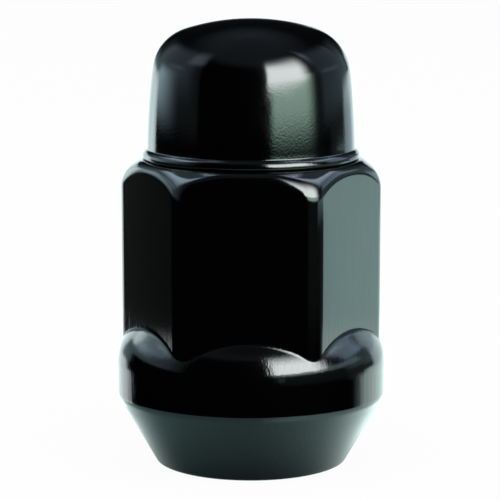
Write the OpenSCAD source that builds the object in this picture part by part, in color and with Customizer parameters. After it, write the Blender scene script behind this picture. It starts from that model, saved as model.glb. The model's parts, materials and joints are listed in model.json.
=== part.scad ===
// Closed-end lug nut with a bulged collar and a conical seat.
// Two formed steel pieces: the tapped hexagon body and the drawn cap welded to its top land.
// Units are millimetres. The origin is the centre of the small end of the seat.
// +Z runs up the axis of the thread to the top of the cap, and one flat faces -Y.

/* [Hexagon body] */
// Width across the flats
hex_flats = 19.05; // [17:0.05:21]
// Rounding of the six upright corners
hex_corner_r = 1.8; // [0.4:0.1:2.2]
// Height of the body from the small end of the seat to the top land
body_h = 25.65; // [20:0.05:36]
// Diameter of the top land, where the crown ends
crown_top_d = 18.6; // [18:0.1:19]
// Slope of the crown from the level, in degrees
crown_slope = 38; // [30:1:45]
// Length of the crown, measured down a corner from the top land
crown_h = 2.1; // [1.9:0.1:5]
// Slope from the upright at which the crown leaves a corner, in degrees
crown_taper = 3; // [2:0.5:12]
// Rounding between the corner and the crown
crown_r = 2; // [0.8:0.1:2.4]

/* [Bulge and seat] */
// Diameter of the bulged collar
bulge_d = 22.4; // [22:0.1:28]
// Height above the small end of the seat at which the bulge's shoulder meets the middle of a flat
bulge_top = 11.75; // [10.5:0.05:16]
// Slope of the bulge's shoulder from the level, in degrees
bulge_slope = 49; // [40:1:55]
// Rounding of the bulge's wall into its shoulder
bulge_edge_r = 2.3; // [1:0.1:3]
// Full angle of the conical seat, in degrees
seat_angle = 60; // [56:1:90]
// Diameter of the small end of the seat
seat_end_d = 15.68; // [14.4:0.02:17]
// Rounding between the seat and the bulge
seat_blend_r = 1.2; // [0.3:0.1:2]
// Rounding of the seat's small end
seat_end_r = 0.4; // [0.1:0.1:0.6]

/* [Thread] */
// Outside diameter of the stud's thread
thread_d = 12; // [10:0.5:12.5]
// Pitch of the thread
thread_pitch = 1.5; // [1:0.25:1.75]
// Diameter of the lead-in at the mouth
mouth_d = 13; // [12.8:0.1:13.8]
// Diameter of the chamfer at the top of the thread
thread_top_d = 12.4; // [12.2:0.1:14]

/* [End cap] */
// Height of the cap above the top land
cap_h = 11.1; // [9:0.02:20]
// Diameter of the cap's wall where it meets the top land
cap_d = 17.5; // [16.6:0.02:17.8]
// Slope of the cap's wall from the upright, in degrees
cap_draft = 4.75; // [1:0.25:8]
// Radius of the cap's crown
cap_crown_r = 18; // [14:0.1:40]
// Radius of the shoulder between the wall and the crown
cap_shoulder_r = 3.95; // [2:0.05:5]
// Thickness of the drawn sheet
cap_sheet = 1.1; // [0.6:0.1:1.5]
// Diameter of the rolled lip at the foot of the cap
lip_d = 17.96; // [17.9:0.02:18.6]
// Height of the rolled lip
lip_h = 0.5; // [0.4:0.05:1.6]
// Rounding of the lip's edges
lip_edge_r = 0.22; // [0.06:0.02:0.24]

/* [Hidden] */
$fn = 96;
// Small overlap by which a rounding crosses the faces beside it
blend_lap = 0.002;
flat_r = hex_flats / 2;
corner_centre = (flat_r - hex_corner_r) / cos(30);
corner_r = corner_centre + hex_corner_r;
bulge_r = bulge_d / 2;
seat_half = seat_angle / 2;
seat_r = seat_end_d / 2;
seat_h = (bulge_r - seat_r) / tan(seat_half);
thread_minor_r = (thread_d - 1.0825 * thread_pitch) / 2;
// Edge at which the crown's two slopes would meet without their rounding
crown_top_r = crown_top_d / 2;
crown_lean = tan(crown_slope) * tan(crown_taper);
crown_edge_r = (corner_r - crown_h * tan(crown_taper) - crown_top_r * crown_lean) / (1 - crown_lean);
crown_edge_z = body_h - (crown_edge_r - crown_top_r) * tan(crown_slope);
// Centre of the cap's crown and of its shoulder, above the top land
dome_z = cap_h - cap_crown_r;
wall_gap = cap_d / 2 * cos(cap_draft) - cap_shoulder_r;
dome_gap = cap_crown_r - cap_shoulder_r;
dome_turn = acos((wall_gap - dome_z * sin(cap_draft)) / dome_gap);
dome_aim = cap_draft + dome_turn;

function polar(r, a) = r * [cos(a), sin(a)];

// What a rounding of radius r about the point c takes off between the directions a1 and a2
module rounding(c, r, a1, a2) {
    difference() {
        polygon([c + polar(r, a1), c + polar(r, a2), c + polar(3 * r, (a1 + a2) / 2)]);
        translate(c)
            circle(r + blend_lap);
    }
}

// The same for an edge at the point p between faces that look in the directions a1 and a2
module edge_rounding(p, r, a1, a2) {
    rounding(p - polar(r / cos((a2 - a1) / 2), (a1 + a2) / 2), r, a1, a2);
}

// Cross section of the hexagon with rounded corners
module hex_section() {
    difference() {
        circle(d = hex_flats / cos(30), $fn = 6);
        for (i = [0 : 5])
            rotate(60 * i)
                rounding([corner_centre, 0], hex_corner_r, -30, 30);
    }
}

// Half outline of the turned form that trims the top of the hexagon
module crown_outline() {
    edge = [crown_edge_r, crown_edge_z];
    foot = corner_r + (body_h - crown_h) * tan(crown_taper);
    difference() {
        polygon([[0, 0], [foot, 0], edge, [crown_top_r, body_h], [0, body_h]]);
        edge_rounding(edge, crown_r, crown_taper, 90 - crown_slope);
    }
}

// Half outline of the seat and the bulge
module bulge_outline() {
    edge_z = bulge_top - (bulge_r - flat_r) * tan(bulge_slope);
    tip_z = bulge_top + flat_r * tan(bulge_slope);
    difference() {
        polygon([[0, 0], [seat_r, 0], [bulge_r, seat_h], [bulge_r, edge_z], [0, tip_z]]);
        edge_rounding([bulge_r, edge_z], bulge_edge_r, 0, 90 - bulge_slope);
        edge_rounding([bulge_r, seat_h], seat_blend_r, -seat_half, 0);
        edge_rounding([seat_r, 0], seat_end_r, -90, -seat_half);
    }
}

// Half outline of the tapped bore with a chamfer at each end
module bore_outline() {
    mouth_r = mouth_d / 2;
    top_r = thread_top_d / 2;
    mouth_z = mouth_r - thread_minor_r;
    top_z = body_h - top_r + thread_minor_r;
    polygon([
        [0, -1], [mouth_r + 1, -1], [thread_minor_r, mouth_z],
        [thread_minor_r, top_z], [top_r + 1, body_h + 1], [0, body_h + 1]
    ]);
}

// Half outline of the dome, drawn in by the given inset
module dome_outline(inset) {
    c = [dome_gap * cos(dome_aim), dome_z + dome_gap * sin(dome_aim)];
    foot = cap_d / 2 - inset / cos(cap_draft);
    head = foot - cap_h * tan(cap_draft);
    difference() {
        intersection() {
            polygon([[0, 0], [foot, 0], [head, cap_h], [0, cap_h]]);
            translate([0, dome_z])
                circle(cap_crown_r - inset);
        }
        rounding(c, cap_shoulder_r - inset, cap_draft, dome_aim);
    }
}

// Half outline of the lip's disc with both of its edges rounded
module lip_outline() {
    r = lip_d / 2;
    e = lip_edge_r;
    difference() {
        square([r, lip_h]);
        edge_rounding([r, lip_h], e, 0, 90);
        edge_rounding([r, 0], e, -90, 0);
    }
}

// Forged body: hexagon with its crown, bulge, seat and tapped bore
module nut_body() {
    color("#17181b")
        difference() {
            union() {
                intersection() {
                    linear_extrude(body_h)
                        hex_section();
                    rotate_extrude()
                        crown_outline();
                    translate([0, 0, seat_h])
                        cylinder(h = body_h, r = 2 * bulge_r);
                }
                rotate_extrude()
                    bulge_outline();
            }
            rotate_extrude()
                bore_outline();
        }
}

// Drawn cap: dome and rolled lip, open below so that the stud's end has room
module end_cap() {
    color("#1b1c1f")
        translate([0, 0, body_h])
            rotate_extrude()
                difference() {
                    union() {
                        dome_outline(0);
                        lip_outline();
                    }
                    dome_outline(cap_sheet);
                }
}

nut_body();
end_cap();
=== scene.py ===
"""Looks of a black closed-end lug nut: the forged hexagon body and the drawn cap welded to its top."""

import json
import math

import bpy
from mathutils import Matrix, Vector

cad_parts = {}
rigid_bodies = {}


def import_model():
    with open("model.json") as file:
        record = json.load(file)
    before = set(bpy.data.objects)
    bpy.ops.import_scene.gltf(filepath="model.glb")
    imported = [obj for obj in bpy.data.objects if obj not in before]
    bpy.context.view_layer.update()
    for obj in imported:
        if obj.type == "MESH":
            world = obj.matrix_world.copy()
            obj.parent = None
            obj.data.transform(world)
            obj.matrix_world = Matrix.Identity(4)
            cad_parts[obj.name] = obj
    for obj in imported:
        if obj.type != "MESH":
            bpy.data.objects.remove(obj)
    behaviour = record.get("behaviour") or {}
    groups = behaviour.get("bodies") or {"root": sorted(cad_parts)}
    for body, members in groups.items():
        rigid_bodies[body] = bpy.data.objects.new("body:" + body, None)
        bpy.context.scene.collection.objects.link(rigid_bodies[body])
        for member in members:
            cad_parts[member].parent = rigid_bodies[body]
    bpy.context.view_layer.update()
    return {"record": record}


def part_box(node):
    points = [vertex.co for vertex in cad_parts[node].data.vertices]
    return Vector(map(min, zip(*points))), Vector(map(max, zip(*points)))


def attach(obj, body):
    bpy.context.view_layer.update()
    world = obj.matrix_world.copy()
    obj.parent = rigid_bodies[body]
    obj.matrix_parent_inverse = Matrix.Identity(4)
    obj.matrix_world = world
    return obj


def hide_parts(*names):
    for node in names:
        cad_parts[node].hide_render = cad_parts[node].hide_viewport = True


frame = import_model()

MM = 0.001
_, body_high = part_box("nut_body")
_, cap_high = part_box("end_cap")
mounts = {mount["name"]: mount for mount in frame["record"]["mounts"]}

# Sizes of the forged body, with slopes in degrees from the level
HEX_FLATS = 19.05 * MM
HEX_CORNER_R = 1.8 * MM
# The seam under the lip looks a little lower in the photograph than in the solids
SEAM_DROP = 0.3 * MM
BODY_H = body_high.z - SEAM_DROP
CROWN_TOP_R = 9.2 * MM
CROWN_SLOPE = 38.0
# The crown's rounding grows from the middle of a flat to the corner
CROWN_R = 1.2 * MM
CROWN_CORNER_R = 2.6 * MM
CROWN_TOP_EDGE_R = 0.8 * MM
BULGE_R = body_high.x
BULGE_TOP = 11.75 * MM
BULGE_SLOPE = 49.0
BULGE_EDGE_R = 4.0 * MM
ARCH_FILLET_R = 0.8 * MM
SEAT_HALF_ANGLE = 30.0
SEAT_R = 7.84 * MM
SEAT_BLEND_R = 1.2 * MM
SEAT_EDGE_R = 0.4 * MM
MOUTH_R = 6.5 * MM
THREAD_TOP_R = 6.2 * MM

# Sizes of the thread
THREAD_MINOR_R = mounts["stud_thread"]["dims"]["r_mm"] * MM
THREAD_MAJOR_R = 6.0 * MM
THREAD_PITCH = 1.5 * MM
# The blank's hole is a little narrower than the tap, which then cuts it all the way
PILOT_GAP = 0.2 * MM
PILOT_R = THREAD_MINOR_R - PILOT_GAP
TAP_LEAD = 2.0 * MM
# The tap starts at an angle, in degrees, at which none of its edges falls on one of the blank's
TAP_START = 1.3

# Sizes of the drawn cap, with its draft and lean in degrees from the upright
CAP_TOP = cap_high.z
CAP_R = 8.75 * MM
CAP_DRAFT = 4.75
CAP_CROWN_R = 18.0 * MM
CAP_SHOULDER_R = 3.95 * MM
CAP_SHEET = 1.1 * MM
# Outside, the wall is slightly bowed, and this is its lean at the top
CAP_WALL_LEAN = 7.0
CAP_WALL_R = 62.0 * MM
LIP_R = cap_high.x
LIP_EDGE_R = 0.28 * MM
LIP_FACE_R = 0.62 * MM
LIP_FILLET_R = 0.12 * MM

# Fineness of the meshes, the gap within which points are joined, and the angle of an edge that stays sharp
CORNER_STEPS = 10
FLAT_STEPS = 32
ROUNDING_STEPS = 60
CROWN_POINTS = 36
SHOULDER_POINTS = 28
CAP_TURN_STEPS = 192
TAP_TURN_STEPS = 96
JOIN_GAP = 0.002 * MM
SHARP_EDGE = 35.0

# Camera, fitted to the photograph in its 500 pixel frame
FRAME_PX = 500
CAMERA_FOCAL_PX = 2425.7
CAMERA_TURN = 1.86
CAMERA_BACK = 198.0 * MM
CAMERA_HEIGHT = 51.1 * MM
CAMERA_AIM_HEIGHT = 17.6 * MM
CAMERA_SENSOR = 36.0
CAMERA_CLIP = 10.0 * MM
FRAMING_PX = (0.9, 0.5)


def linear(hex_colour):
    """An sRGB hex value as a linear colour with alpha."""
    channels = [int(hex_colour[i:i + 2], 16) / 255 for i in (1, 3, 5)]
    return [c / 12.92 if c <= 0.04045 else ((c + 0.055) / 1.055) ** 2.4 for c in channels] + [1.0]


def polar(radius, degrees):
    """The point at that radius and angle."""
    angle = math.radians(degrees)
    return Vector((radius * math.cos(angle), radius * math.sin(angle)))


def arc(centre, radius, start, end, steps):
    """Points of an arc from one angle to another, both ends included."""
    turn = (end - start) / steps
    return [Vector(centre) + polar(radius, start + turn * i) for i in range(steps + 1)]


def line(start, end, steps):
    """Points between two ends, closer together near the ends, which are left out."""
    start, end = Vector(start), Vector(end)
    shares = [(1 - math.cos(math.pi * i / steps)) / 2 for i in range(1, steps)]
    return [start.lerp(end, share) for share in shares]


def spread(path, count):
    """Evenly spaced points along a path of points, both ends included."""
    lengths = [0.0]
    for before, after in zip(path, path[1:]):
        lengths.append(lengths[-1] + (after - before).length)
    points, piece = [], 0
    for i in range(count):
        place = lengths[-1] * i / (count - 1)
        while piece < len(path) - 2 and lengths[piece + 1] < place:
            piece += 1
        share = (place - lengths[piece]) / (lengths[piece + 1] - lengths[piece])
        points.append(path[piece].lerp(path[piece + 1], share))
    return points


# Outline of the forged body

HEX_SIDES = 6
SIDE_TURN = 360 / HEX_SIDES
HALF_SIDE_COS = math.cos(math.radians(SIDE_TURN / 2))
HALF_SIDE_SIN = 0.5
FLAT_R = HEX_FLATS / 2
CORNER_CENTRE = (FLAT_R - HEX_CORNER_R) / HALF_SIDE_COS
CORNER_R = CORNER_CENTRE + HEX_CORNER_R
SEAT_TAN = math.tan(math.radians(SEAT_HALF_ANGLE))
SEAT_H = (BULGE_R - SEAT_R) / SEAT_TAN
CROWN_TILT = 90 - CROWN_SLOPE
SHOULDER_TILT = 90 - BULGE_SLOPE
BULGE_EDGE_H = BULGE_TOP - (BULGE_R - FLAT_R) * math.tan(math.radians(BULGE_SLOPE))
BULGE_WALL_H = BULGE_EDGE_H - BULGE_EDGE_R * math.tan(math.radians(SHOULDER_TILT / 2))
SHOULDER = Vector((BULGE_R - BULGE_EDGE_R, BULGE_WALL_H))


def hex_columns():
    """Angle and radius of each upright line around the rounded hexagon."""
    half_flat = CORNER_CENTRE / 2
    columns = []
    for side in range(HEX_SIDES):
        outline = [Vector((CORNER_CENTRE, 0))
                   + polar(HEX_CORNER_R, -SIDE_TURN / 2 + SIDE_TURN * i / CORNER_STEPS)
                   for i in range(CORNER_STEPS)]
        for i in range(FLAT_STEPS):
            along = -half_flat * math.cos(math.pi * i / FLAT_STEPS)
            outline.append(Vector((FLAT_R * HALF_SIDE_COS - along * HALF_SIDE_SIN,
                                   FLAT_R * HALF_SIDE_SIN + along * HALF_SIDE_COS)))
        for point in outline:
            turn = math.atan2(point.y, point.x) + math.radians(SIDE_TURN * side)
            columns.append((turn, point.length))
    return columns


def beside(point, tilt, gap, radius):
    """The place at that radius and at a gap from the slope that runs through a point, facing up by a tilt."""
    facing = polar(1, tilt)
    return Vector((radius, (facing.dot(point) + gap - facing.x * radius) / facing.y))


def crown_outline(hex_r):
    """The rounding from an upright wall at hex_r into the crown's slope, and from there into the top land."""
    land = Vector((CROWN_TOP_R, BODY_H))
    corner_share = (hex_r - FLAT_R) / (CORNER_R - FLAT_R)
    low_r = CROWN_R + (CROWN_CORNER_R - CROWN_R) * corner_share ** 2
    low = beside(land, CROWN_TILT, -low_r, hex_r - low_r)
    top_back = CROWN_TOP_EDGE_R * math.tan(math.radians(45 - CROWN_TILT / 2))
    top = land - Vector((top_back, CROWN_TOP_EDGE_R))
    tilt = CROWN_TILT
    # Where the slope is too short for both roundings, one runs straight into the other
    if (top - low).dot(polar(1, CROWN_TILT - 90)) > 0:
        gap = low_r - CROWN_TOP_EDGE_R
        top.x = low.x + math.sqrt(gap ** 2 - (top.y - low.y) ** 2)
        tilt = math.degrees(math.atan2(top.y - low.y, top.x - low.x))
    roundings = arc(low, low_r, 0, tilt, ROUNDING_STEPS)
    roundings += arc(top, CROWN_TOP_EDGE_R, tilt, 90, ROUNDING_STEPS)
    return spread(roundings, CROWN_POINTS)


def shoulder_outline(hex_r):
    """The bulge's rounding and slope, and the hollow fillet from there into an upright wall at hex_r."""
    fillet_x = hex_r + ARCH_FILLET_R
    reach = BULGE_EDGE_R + ARCH_FILLET_R
    side = fillet_x - SHOULDER.x
    # At a corner the fillet starts on the rounding itself, and at a flat on the slope above it
    on_rounding = side > polar(reach, SHOULDER_TILT).x
    if on_rounding:
        fillet = Vector((fillet_x, SHOULDER.y + math.sqrt(reach ** 2 - side ** 2)))
        tilt = math.degrees(math.atan2(fillet.y - SHOULDER.y, side))
    else:
        fillet = beside(Vector((BULGE_R, BULGE_EDGE_H)), SHOULDER_TILT, ARCH_FILLET_R, fillet_x)
        tilt = SHOULDER_TILT
    path = arc(SHOULDER, BULGE_EDGE_R, 0, tilt, ROUNDING_STEPS)
    if not on_rounding:
        path.append(fillet - polar(ARCH_FILLET_R, tilt))
    return spread(path, SHOULDER_POINTS) + arc(fillet, ARCH_FILLET_R, tilt + 180, 180, steps=10)[1:]


def body_outline(hex_r):
    """Closed outline of the body, as radius and height, at an angle where the hexagon's radius is hex_r."""
    edge_r = SEAT_R - SEAT_EDGE_R * math.tan(math.radians(45 - SEAT_HALF_ANGLE / 2))
    blend_z = SEAT_H + SEAT_BLEND_R * math.tan(math.radians(SEAT_HALF_ANGLE / 2))
    seat_edge = arc((edge_r, SEAT_EDGE_R), SEAT_EDGE_R, -90, -SEAT_HALF_ANGLE, steps=6)
    blend = arc((BULGE_R - SEAT_BLEND_R, blend_z), SEAT_BLEND_R, -SEAT_HALF_ANGLE, 0, steps=8)
    shoulder = shoulder_outline(hex_r)
    crown = crown_outline(hex_r)
    mouth = [(PILOT_R, MOUTH_R - PILOT_R), (MOUTH_R, 0)]
    top = [(THREAD_TOP_R, BODY_H), (PILOT_R, BODY_H - THREAD_TOP_R + PILOT_R)]
    return (
        seat_edge + line(seat_edge[-1], blend[0], steps=8) + blend
        + line(blend[-1], shoulder[0], steps=6) + shoulder
        + line(shoulder[-1], crown[0], steps=14) + crown
        + line(crown[-1], top[0], steps=5) + [Vector(place) for place in top + mouth]
        + line(mouth[-1], seat_edge[0], steps=4)
    )


# Outline of the drawn cap

DRAFT_COS = math.cos(math.radians(CAP_DRAFT))
DRAFT_SIN = math.sin(math.radians(CAP_DRAFT))
DOME = Vector((0, CAP_TOP - CAP_CROWN_R))
DOME_GAP = CAP_CROWN_R - CAP_SHOULDER_R
WALL_GAP = CAP_R * DRAFT_COS - CAP_SHOULDER_R
DOME_AIM = CAP_DRAFT + math.degrees(math.acos((WALL_GAP - (DOME.y - BODY_H) * DRAFT_SIN) / DOME_GAP))
CAP_SHOULDER = DOME + polar(DOME_GAP, DOME_AIM)


def dome_outline(inset, lean):
    """The dome from its wall's top end, which leans in by that angle, to its top, drawn in by an inset."""
    shoulder = arc(CAP_SHOULDER, CAP_SHOULDER_R - inset, lean, DOME_AIM, steps=20)
    crown = arc(DOME, CAP_CROWN_R - inset, DOME_AIM, 90, steps=14)
    return shoulder + crown[1:]


def cap_outline():
    """Outline of the cap from the inner top round the lip to the outer top."""
    bow = CAP_SHOULDER - polar(CAP_WALL_R - CAP_SHOULDER_R, CAP_WALL_LEAN)
    bead = Vector((LIP_R - LIP_FACE_R, BODY_H + LIP_EDGE_R))

    # The fillet touches both the bowed wall and the lip's face
    from_bow, from_bead = CAP_WALL_R + LIP_FILLET_R, LIP_FACE_R + LIP_FILLET_R
    apart = (bead - bow).length
    along = (from_bow ** 2 - from_bead ** 2 + apart ** 2) / (2 * apart)
    side = math.sqrt(from_bow ** 2 - along ** 2)
    ahead = (bead - bow).normalized()
    fillet = bow + ahead * along + Vector((-ahead.y, ahead.x)) * side
    lean = math.degrees(math.atan2(fillet.y - bead.y, fillet.x - bead.x))
    wall_lean = math.degrees(math.atan2(fillet.y - bow.y, fillet.x - bow.x))

    under = arc((LIP_R - LIP_EDGE_R, BODY_H + LIP_EDGE_R), LIP_EDGE_R, -90, 0, steps=10)
    over = arc(bead, LIP_FACE_R, 0, lean, steps=16)
    hollow = arc(fillet, LIP_FILLET_R, lean + 180, 180 + wall_lean, steps=8)
    wall = arc(bow, CAP_WALL_R, wall_lean, CAP_WALL_LEAN, steps=16)
    outer = dome_outline(0, CAP_WALL_LEAN)
    inner = dome_outline(CAP_SHEET, CAP_DRAFT)
    foot = Vector((CAP_R - CAP_SHEET / DRAFT_COS, BODY_H))
    inside = inner[::-1] + line(inner[0], foot, steps=6) + [foot]
    lip = line(foot, under[0], steps=4) + under + over[1:] + hollow[1:]
    return inside + lip + wall[1:] + outer[1:]


# Modelling

def pick(piece):
    """Selects a piece alone and makes it the active one."""
    bpy.ops.object.select_all(action="DESELECT")
    piece.select_set(True)
    bpy.context.view_layer.objects.active = piece


def finish_piece(piece, name):
    """Names a piece and smooths it, with its sharp edges kept."""
    piece.name = name
    piece.data.name = name
    pick(piece)
    bpy.ops.object.shade_smooth_by_angle(angle=math.radians(SHARP_EDGE))
    return piece


def chain_of_edges(points):
    """A chain of edges drawn through points of radius and height, left in edit mode."""
    bpy.ops.object.select_all(action="DESELECT")
    first = points[0]
    bpy.ops.mesh.primitive_plane_add(size=MM, location=(first.x, 0, first.y))
    bpy.ops.object.transform_apply(location=True)
    bpy.ops.object.mode_set(mode="EDIT")
    bpy.ops.mesh.select_all(action="SELECT")
    bpy.ops.mesh.merge(type="CENTER")
    for before, after in zip(points, points[1:]):
        step = (after.x - before.x, 0, after.y - before.y)
        bpy.ops.mesh.extrude_region_move(TRANSFORM_OT_translate={"value": step})
    bpy.ops.mesh.select_all(action="SELECT")
    return bpy.context.active_object


def face_outwards():
    """Turns all faces of the piece in edit mode outwards and leaves edit mode."""
    bpy.ops.mesh.select_all(action="SELECT")
    bpy.ops.mesh.normals_make_consistent(inside=False)
    bpy.ops.object.mode_set(mode="OBJECT")


def turned_cap():
    """The cap, drawn as an outline and turned about its axis."""
    piece = chain_of_edges(cap_outline())
    bpy.ops.mesh.spin(steps=CAP_TURN_STEPS, angle=2 * math.pi, center=(0, 0, 0), axis=(0, 0, 1))
    bpy.ops.mesh.select_all(action="SELECT")
    bpy.ops.mesh.remove_doubles(threshold=JOIN_GAP)
    face_outwards()
    return finish_piece(piece, "drawn_cap")


def forged_blank():
    """The body before tapping: a ring whose every section is pressed to the outline at its angle."""
    columns = hex_columns()
    outlines = [body_outline(hex_r) for _, hex_r in columns]
    bpy.ops.object.select_all(action="DESELECT")
    bpy.ops.mesh.primitive_torus_add(
        major_segments=len(columns), minor_segments=len(outlines[0]),
        major_radius=FLAT_R, minor_radius=HEX_CORNER_R)
    piece = bpy.context.active_object
    places = iter(piece.data.vertices)
    for (turn, _), outline in zip(columns, outlines):
        for point in outline:
            next(places).co = (point.x * math.cos(turn), point.x * math.sin(turn), point.y)
    bpy.ops.object.mode_set(mode="EDIT")
    face_outwards()
    return piece


def thread_tap():
    """A tap for the thread: one pitch of its outline, wound up the axis and closed at both ends."""
    turns = math.ceil((BODY_H + 2 * TAP_LEAD) / THREAD_PITCH)
    # A metric thread's shares of its pitch; the second flank takes what is left
    crest, flank, root = THREAD_PITCH / 4, THREAD_PITCH * 5 / 16, THREAD_PITCH / 8
    heights = [0, crest, crest + flank, crest + flank + root, THREAD_PITCH]
    radii = [THREAD_MINOR_R, THREAD_MINOR_R, THREAD_MAJOR_R, THREAD_MAJOR_R, THREAD_MINOR_R]
    tap = chain_of_edges([Vector((r, h - TAP_LEAD)) for r, h in zip(radii, heights)])
    bpy.ops.object.mode_set(mode="OBJECT")
    wind = tap.modifiers.new("wind", "SCREW")
    wind.axis = "Z"
    wind.angle = 2 * math.pi
    wind.screw_offset = THREAD_PITCH
    wind.iterations = turns
    wind.steps = wind.render_steps = TAP_TURN_STEPS
    wind.use_merge_vertices = True
    wind.merge_threshold = JOIN_GAP
    bpy.ops.object.modifier_apply(modifier=wind.name)
    tap.rotation_euler.z = math.radians(TAP_START)
    bpy.ops.object.transform_apply(rotation=True)
    bpy.ops.object.mode_set(mode="EDIT")
    bpy.ops.mesh.select_all(action="SELECT")
    bpy.ops.mesh.remove_doubles(threshold=JOIN_GAP)
    for is_end in (lambda z: z < 0, lambda z: z > 0):
        bpy.ops.mesh.select_mode(type="VERT")
        bpy.ops.mesh.select_all(action="DESELECT")
        bpy.ops.mesh.select_non_manifold(extend=False)
        bpy.ops.object.mode_set(mode="OBJECT")
        for vertex in tap.data.vertices:
            vertex.select = vertex.select and is_end(vertex.co.z)
        bpy.ops.object.mode_set(mode="EDIT")
        bpy.ops.mesh.extrude_edges_move()
        bpy.ops.mesh.merge(type="CENTER")
    face_outwards()
    return tap


def drop_chips(piece):
    """Deletes the loose chips that the cut leaves beside the body."""
    bpy.ops.object.mode_set(mode="EDIT")
    bpy.ops.mesh.select_mode(type="VERT")
    bpy.ops.mesh.select_all(action="DESELECT")
    bpy.ops.object.mode_set(mode="OBJECT")
    outermost = max(piece.data.vertices, key=lambda vertex: vertex.co.xy.length)
    outermost.select = True
    bpy.ops.object.mode_set(mode="EDIT")
    bpy.ops.mesh.select_linked()
    bpy.ops.mesh.select_all(action="INVERT")
    bpy.ops.mesh.delete(type="VERT")
    bpy.ops.object.mode_set(mode="OBJECT")


def tapped_body():
    """The forged body with its thread cut."""
    piece, tap = forged_blank(), thread_tap()
    pick(piece)
    cut = piece.modifiers.new("cut", "BOOLEAN")
    cut.object = tap
    cut.operation = "DIFFERENCE"
    cut.solver = "EXACT"
    bpy.ops.object.modifier_apply(modifier=cut.name)
    bpy.data.objects.remove(tap)
    drop_chips(piece)
    return finish_piece(piece, "tapped_body")


# Materials

COAT_BLACK = "#020202"
COAT_IOR = 1.55
# A noise stays mostly between these two values
NOISE_LOW, NOISE_HIGH = 0.3, 0.7

# Sizes of the patterns in millimetres, depths of their relief, and heights where they are faint and full
PEBBLE_SIZE = 0.18
PEBBLE_DEPTH = 0.005 * MM
PEBBLE_FADED = CAP_TOP - 4.0 * MM
PEBBLE_FULL = CAP_TOP - 7.0 * MM
PEBBLE_ON_TOP = 0.2
PATCH_SIZE = 2.5
CAP_ROUGHNESS = (0.07, 0.13)
GRAIN_SIZE = 0.5
GRAIN_DEPTH = 0.003 * MM
# The forging's upright lines are drawn coarser than they are, because the real ones are too fine to show
LINE_WIDTH = 0.25
LINE_SQUEEZE = 0.06
LINE_DEPTH = 0.012 * MM
LINE_FADED = BULGE_TOP + 2.0 * MM
LINE_FULL = BULGE_TOP - 1.0 * MM
LINE_ON_FLATS = 0.12
LINE_SPECULAR = (0.47, 0.53)
BODY_ROUGHNESS = 0.1
SEAT_ROUGHNESS = 0.24
SATIN_FADED = SEAT_H - 0.2 * MM
SATIN_FULL = SEAT_H - 0.8 * MM


def add(tree, kind, inputs=None, **settings):
    """Adds a node with its settings; an input is a value or another node's output socket."""
    node = tree.nodes.new(kind)
    for name, value in settings.items():
        setattr(node, name, value)
    for name, value in (inputs or {}).items():
        if isinstance(value, bpy.types.NodeSocket):
            tree.links.new(value, node.inputs[name])
        else:
            node.inputs[name].default_value = value
    return node


def empty_material(name):
    """A new material and its node tree, with nothing in it but the output."""
    material = bpy.data.materials.new(name)
    material.use_nodes = True
    tree = material.node_tree
    tree.nodes.clear()
    return material, tree, add(tree, "ShaderNodeOutputMaterial")


def per_mm(size):
    """Texture scale for features of that size in millimetres."""
    return 1 / (size * MM)


def cap_coat():
    """Gloss black coating on drawn steel: deep black, mirror gloss, and a fine pebble left by the draw."""
    material, tree, output = empty_material("gloss_black_coating_on_drawn_steel")
    place = add(tree, "ShaderNodeTexCoord").outputs["Object"]
    height = add(tree, "ShaderNodeSeparateXYZ", {"Vector": place}).outputs["Z"]
    pebble = add(tree, "ShaderNodeTexNoise", {
        "Vector": place, "Scale": per_mm(PEBBLE_SIZE), "Detail": 1.5, "Roughness": 0.5})
    pebble_share = add(tree, "ShaderNodeMapRange", {
        "Value": height, "From Min": PEBBLE_FADED, "From Max": PEBBLE_FULL,
        "To Min": PEBBLE_ON_TOP, "To Max": 1.0})
    relief = add(tree, "ShaderNodeBump", {
        "Height": pebble.outputs["Fac"], "Distance": PEBBLE_DEPTH,
        "Strength": pebble_share.outputs["Result"]})
    patch = add(tree, "ShaderNodeTexNoise", {"Vector": place, "Scale": per_mm(PATCH_SIZE), "Detail": 3.0})
    gloss = add(tree, "ShaderNodeMapRange", {
        "Value": patch.outputs["Fac"], "From Min": NOISE_LOW, "From Max": NOISE_HIGH,
        "To Min": CAP_ROUGHNESS[0], "To Max": CAP_ROUGHNESS[1]})
    shader = add(tree, "ShaderNodeBsdfPrincipled", {
        "Base Color": linear(COAT_BLACK), "IOR": COAT_IOR,
        "Roughness": gloss.outputs["Result"], "Normal": relief.outputs["Normal"]})
    tree.links.new(shader.outputs["BSDF"], output.inputs["Surface"])
    return material


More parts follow.
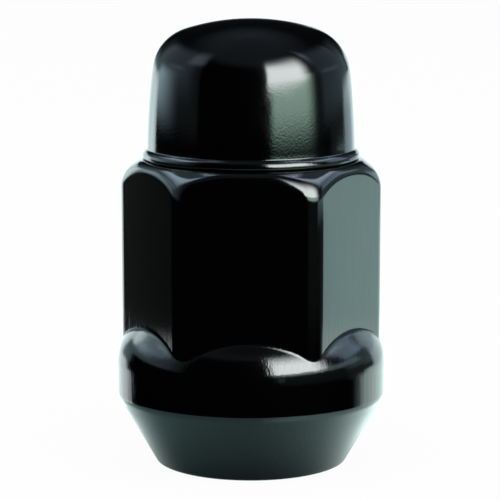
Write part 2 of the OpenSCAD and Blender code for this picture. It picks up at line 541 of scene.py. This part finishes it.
def body_coat():
    """Gloss black coating on forged steel: gloss with upright lines, faint on the flats, and a satin seat."""
    material, tree, output = empty_material("gloss_black_coating_on_forged_steel")
    place = add(tree, "ShaderNodeTexCoord").outputs["Object"]
    height = add(tree, "ShaderNodeSeparateXYZ", {"Vector": place}).outputs["Z"]
    grain = add(tree, "ShaderNodeTexNoise", {
        "Vector": place, "Scale": per_mm(GRAIN_SIZE), "Detail": 4.0, "Roughness": 0.6})
    grain_relief = add(tree, "ShaderNodeBump", {
        "Height": grain.outputs["Fac"], "Strength": 1.0, "Distance": GRAIN_DEPTH})
    upright = add(tree, "ShaderNodeMapping", {"Vector": place, "Scale": (1, 1, LINE_SQUEEZE)})
    lines = add(tree, "ShaderNodeTexNoise", {
        "Vector": upright.outputs["Vector"], "Scale": per_mm(LINE_WIDTH), "Detail": 3.0, "Roughness": 0.6})
    line_share = add(tree, "ShaderNodeMapRange", {
        "Value": height, "From Min": LINE_FADED, "From Max": LINE_FULL,
        "To Min": LINE_ON_FLATS, "To Max": 1.0})
    relief = add(tree, "ShaderNodeBump", {
        "Height": lines.outputs["Fac"], "Distance": LINE_DEPTH,
        "Strength": line_share.outputs["Result"], "Normal": grain_relief.outputs["Normal"]})
    specular = add(tree, "ShaderNodeMapRange", {
        "Value": lines.outputs["Fac"], "From Min": NOISE_LOW, "From Max": NOISE_HIGH,
        "To Min": LINE_SPECULAR[0], "To Max": LINE_SPECULAR[1]})
    gloss = add(tree, "ShaderNodeMapRange", {
        "Value": height, "From Min": SATIN_FADED, "From Max": SATIN_FULL,
        "To Min": BODY_ROUGHNESS, "To Max": SEAT_ROUGHNESS})
    shader = add(tree, "ShaderNodeBsdfPrincipled", {
        "Base Color": linear(COAT_BLACK), "IOR": COAT_IOR,
        "Specular IOR Level": specular.outputs["Result"],
        "Roughness": gloss.outputs["Result"], "Normal": relief.outputs["Normal"]})
    tree.links.new(shader.outputs["BSDF"], output.inputs["Surface"])
    return material


# Stage

FLOOR_SIZE = 8.0
FLOOR_WHITE_SHARE = 0.96
ROOM_LIGHT = 0.6
WHITE = (1, 1, 1, 1)
CARD_ACROSS = 48
CARD_UP = 16
HARD_EDGES = (0, 0, 0, 0)


def direct_ray(tree):
    """1 for a ray from the camera, from gloss or through glass, and 0 for all others."""
    path = add(tree, "ShaderNodeLightPath")
    mirrored = add(tree, "ShaderNodeMath", {0: path.outputs["Is Camera Ray"],
                                            1: path.outputs["Is Glossy Ray"]}, operation="MAXIMUM")
    direct = add(tree, "ShaderNodeMath", {0: mirrored.outputs["Value"],
                                          1: path.outputs["Is Transmission Ray"]}, operation="MAXIMUM")
    return direct.outputs["Value"]


def white_floor():
    """A wide white table that keeps a soft shadow."""
    bpy.ops.object.select_all(action="DESELECT")
    bpy.ops.mesh.primitive_plane_add(size=FLOOR_SIZE)
    floor = bpy.context.active_object
    floor.name = "floor"
    material, tree, output = empty_material("white_table")
    matt = add(tree, "ShaderNodeBsdfDiffuse", {"Color": linear("#f0f0f0")})
    white = add(tree, "ShaderNodeEmission", {"Color": WHITE, "Strength": 1.0})
    amount = add(tree, "ShaderNodeMath", {0: direct_ray(tree), 1: FLOOR_WHITE_SHARE}, operation="MULTIPLY")
    mix = add(tree, "ShaderNodeMixShader", {
        "Fac": amount.outputs["Value"], 1: matt.outputs["BSDF"], 2: white.outputs["Emission"]})
    tree.links.new(mix.outputs["Shader"], output.inputs["Surface"])
    floor.data.materials.append(material)
    # Gloss sees the table's cards instead
    floor.visible_glossy = False


def white_world():
    """A white room: white to the camera and to gloss, and a plain soft light on everything else."""
    world = bpy.data.worlds.new("white_room")
    bpy.context.scene.world = world
    world.use_nodes = True
    tree = world.node_tree
    tree.nodes.clear()
    strength = add(tree, "ShaderNodeMapRange", {
        "Value": direct_ray(tree), "To Min": ROOM_LIGHT, "To Max": 1.0})
    room = add(tree, "ShaderNodeBackground", {"Color": WHITE, "Strength": strength.outputs["Result"]})
    output = add(tree, "ShaderNodeOutputWorld")
    tree.links.new(room.outputs["Background"], output.inputs["Surface"])


def toward(turn, lift, distance):
    """The place at that distance, turned to the right of the camera's side and lifted, in degrees."""
    side = math.radians(turn + CAMERA_TURN)
    up = math.radians(lift)
    middle = Vector((0, 0, CAMERA_AIM_HEIGHT))
    flat = math.cos(up) * distance
    return middle + Vector((flat * math.sin(side), -flat * math.cos(side), math.sin(up) * distance))


def aim_at_nut(thing):
    """Turns a lamp or the camera toward the middle of the object."""
    aim = Vector((0, 0, CAMERA_AIM_HEIGHT)) - thing.location
    thing.rotation_euler = aim.to_track_quat("-Z", "Y").to_euler()


def soft_card(name, place, size, colour, strength, soft):
    """A bent card that only gloss sees; place gives a point for a share across and a share up.

    The soft edges at its left, right, foot and head are in the units of its size.
    """
    bpy.ops.object.select_all(action="DESELECT")
    bpy.ops.mesh.primitive_grid_add(x_subdivisions=CARD_ACROSS, y_subdivisions=CARD_UP, size=1)
    piece = bpy.context.active_object
    piece.name = name
    for vertex in piece.data.vertices:
        vertex.co = place(vertex.co.x + 0.5, vertex.co.y + 0.5)
    material, tree, output = empty_material(name)
    spot = add(tree, "ShaderNodeSeparateXYZ", {"Vector": add(tree, "ShaderNodeTexCoord").outputs["UV"]})
    cover = 1.0
    for axis, length, low, high in (("X", size[0], soft[0], soft[1]), ("Y", size[1], soft[2], soft[3])):
        for width, start, end in ((low, 0.0, low / length), (high, 1.0, 1.0 - high / length)):
            if width:
                edge = add(tree, "ShaderNodeMapRange",
                           {"Value": spot.outputs[axis], "From Min": start, "From Max": end},
                           interpolation_type="SMOOTHSTEP")
                cover = add(tree, "ShaderNodeMath", {0: edge.outputs["Result"], 1: cover},
                            operation="MULTIPLY").outputs["Value"]
    glow = add(tree, "ShaderNodeEmission", {"Color": linear(colour), "Strength": strength})
    clear = add(tree, "ShaderNodeBsdfTransparent")
    mix = add(tree, "ShaderNodeMixShader", {
        "Fac": cover, 1: clear.outputs["BSDF"], 2: glow.outputs["Emission"]})
    tree.links.new(mix.outputs["Shader"], output.inputs["Surface"])
    piece.data.materials.append(material)
    piece.visible_camera = False
    piece.visible_diffuse = False
    piece.visible_shadow = False
    piece.visible_transmission = False


def card(name, turns, lifts, distance, colour, strength, soft=HARD_EDGES):
    """A card round the object over a range of turns and lifts, in degrees as its soft edges are."""
    wide, tall = turns[1] - turns[0], lifts[1] - lifts[0]

    def place(u, v):
        return toward(turns[0] + u * wide, lifts[0] + v * tall, distance * MM)
    soft_card(name, place, (wide, tall), colour, strength, soft)


def near_card(name, turns, heights, distance, colour, strength, soft, top_in=0):
    """A card close to the object over a range of turns and heights, which may lean in toward its head."""
    wide, tall = turns[1] - turns[0], heights[1] - heights[0]

    def place(u, v):
        side = math.radians(turns[0] + u * wide + CAMERA_TURN)
        away = (distance - top_in * v) * MM
        return (away * math.sin(side), -away * math.cos(side), (heights[0] + v * tall) * MM)
    soft_card(name, place, (wide, tall), colour, strength, soft)


def over_card(name, height, radius, colour, strength, soft, forward=0):
    """A level round card with a soft rim, on the axis or forward of it."""
    def place(u, v):
        side = 2 * math.pi * u
        away = radius * v * MM
        return (away * math.sin(side), -forward * MM - away * math.cos(side), height * MM)
    soft_card(name, place, (1, radius), colour, strength, (0, 0, 0, soft))


def lamp(name, turn, lift, distance, size, power):
    """A soft lamp that lights the table and the object but isn't mirrored, because the cards are."""
    light = bpy.data.lights.new(name, "AREA")
    light.shape = "SQUARE"
    light.size = size * MM
    light.energy = power
    holder = bpy.data.objects.new(name, light)
    bpy.context.scene.collection.objects.link(holder)
    holder.location = toward(turn, lift, distance * MM)
    aim_at_nut(holder)
    holder.visible_glossy = False


def studio():
    """Cards and lamps round the object: turns to the right and lifts in degrees, lengths in millimetres."""
    # The table as gloss sees it, brighter toward the back
    card("table_front", (-180, 180), (-90, -22), 440, "#c8ffff", 0.55)
    card("table_right", (0, 186), (-78, -22), 430, "#d4fffc", 1.4, (40, 0, 36, 0))
    card("table_far_right", (100, 186), (-78, -22), 428, "#e8fffa", 3.0, (65, 0, 36, 0))
    card("table_left", (-186, -116), (-78, -22), 430, "#e8fffa", 1.8, (0, 50, 40, 0))

    # The dim room with its walls
    card("room", (-180, 180), (-23, 65), 460, "#a0b0b8", 0.22)
    card("ceiling", (-180, 180), (64, 90), 470, "#8090a0", 0.2)
    card("back_dark", (140, 220), (6, 65), 450, "#101010", 1.0, (24, 24, 6, 0))
    card("left_wall", (-150, -62), (2, 44), 425, "#ccf0ff", 0.5, (20, 24, 6, 10))
    card("left_foot", (-160, -84), (-4, 16), 420, "#d4f4ff", 0.6, (10, 36, 5, 14))
    card("right_wall", (84, 150), (-1, 34), 420, "#ccf4ff", 0.4, (8, 10, 3, 26))

    # The far edge of the table: dark in front and bright at both sides of the back
    card("low_dark", (-129, 102), (-24, 1), 410, "#000000", 0.0, (2, 8, 2, 4))
    card("low_right", (104, 186), (-24, -3.5), 400, "#d4fffb", 2.1, (8, 0, 2, 3))
    card("low_left", (-186, -128), (-24, 0), 400, "#f0fffe", 2.4, (0, 3, 2, 4))

    # High banks at both sides, the foot of the softbox, and a flag that keeps the front dark
    card("left_bank", (-134, -76), (25, 86), 390, "#d0ecff", 5.0, (4, 14, 28, 8))
    card("right_bank", (76, 134), (25, 86), 390, "#d4ecff", 5.0, (14, 4, 28, 8))
    card("softbox_foot", (19, 80), (-3.5, 15), 385, "#d0fce8", 5.4, (8, 18, 8, 0))
    card("front_flag", (-62, 17), (-24, 56), 300, "#000000", 0.0, (3, 1.5, 0, 10))

    # The softbox, and panels that the shoulder and the sides mirror
    near_card("lens_left", (-116, -80), (56, 86), 110, "#c8e8ff", 1.6, (12, 12, 12, 12))
    near_card("lens_right", (84, 126), (46, 96), 110, "#c4e4ff", 1.9, (10, 10, 12, 8))
    near_card("near_right", (121, 176), (-8, 33), 110, "#e8fcff", 1.9, (5, 4, 4, 6))
    near_card("rim_right", (146, 176), (20, 48), 108, "#e8fcff", 1.7, (6, 4, 4, 5))
    near_card("left_patch", (-129, -82), (23, 52), 60, "#d0f0ff", 2.4, (12, 36, 12, 18))
    near_card("softbox", (16, 73), (41, 112), 112, "#f8ffff", 14.5, (4, 18, 5, 44), top_in=56)

    # Flags that stand on the table and hide its far part
    near_card("table_flag", (-120, 24), (0, 21), 56, "#000000", 0.0, (6, 4, 0, 1.5))
    near_card("table_flag_mid", (20, 84), (0, 22.5), 56, "#788084", 0.25, (4, 4, 8, 1.5))
    near_card("table_flag_right", (80, 108), (0, 15), 56, "#788084", 0.5, (4, 6, 0, 2))

    # Small panels beside the nut for its shoulder, its collar and the rims at both sides
    near_card("lens_right_low", (60, 99), (15.5, 23), 40, "#c8ecf4", 1.4, (6, 5, 3, 2))
    near_card("lens_right_far", (112, 140), (14.5, 31), 40, "#d0ecf8", 1.6, (6, 8, 3, 4))
    near_card("collar_right", (84, 176), (-8, 7), 38, "#e8fffa", 2.4, (24, 4, 0, 3))
    near_card("collar_left", (-150, -106), (-8, 5), 40, "#f0fdff", 2.4, (5, 9, 0, 3))
    near_card("near_left", (-176, -130), (6, 37), 40, "#e8fcff", 2.2, (4, 4, 2, 5))
    near_card("near_left_high", (-140, -116), (19, 36), 40, "#e8fcff", 3.2, (4, 6, 3, 6))

    # Veils so close above the nut that hardly more than the dome sees them, and a black disc round its foot,
    # a painted shadow that only gloss sees
    near_card("dome_shade_left", (-112, -50), (33.6, 52), 13, "#cbecff", 0.45, (14, 8, 3, 5))
    near_card("dome_shade_right", (53, 104), (32.6, 52), 13, "#c4e4ff", 0.4, (10, 6, 3, 6))
    near_card("dome_glow_left", (-66, -38), (35.8, 48), 12.8, "#d4ecff", 1.1, (12, 10, 2, 5))
    over_card("over_flag", 38.5, 11, "#14181a", 0.9, 3)
    over_card("over_glow", 38.3, 9, "#808c98", 0.5, 6, forward=8)
    # A black disc on the table: painted shadow round the foot, which the seat mirrors
    over_card("painted_foot_shadow", 0.1, 13.5, "#000000", 0.0, 9)

    lamp("key_lamp", 45, 55, 500, 400, 0.9)
    lamp("fill_lamp", -60, 55, 500, 400, 0.5)


def camera():
    """The camera at the photograph's viewing angle."""
    data = bpy.data.cameras.new("camera")
    data.sensor_width = CAMERA_SENSOR
    data.lens = CAMERA_FOCAL_PX / FRAME_PX * CAMERA_SENSOR
    data.clip_start = CAMERA_CLIP
    data.shift_x = -FRAMING_PX[0] / FRAME_PX
    data.shift_y = FRAMING_PX[1] / FRAME_PX
    eye = bpy.data.objects.new("camera", data)
    bpy.context.scene.collection.objects.link(eye)
    turn = math.radians(CAMERA_TURN)
    eye.location = (CAMERA_BACK * math.sin(turn), -CAMERA_BACK * math.cos(turn), CAMERA_HEIGHT)
    aim_at_nut(eye)
    bpy.context.scene.camera = eye


bpy.context.scene.view_settings.view_transform = "Standard"
camera()
white_world()
white_floor()
studio()

body = tapped_body()
body.data.materials.append(body_coat())
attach(body, "root")
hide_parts("nut_body")

cap = turned_cap()
cap.data.materials.append(cap_coat())
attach(cap, "root")
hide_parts("end_cap")
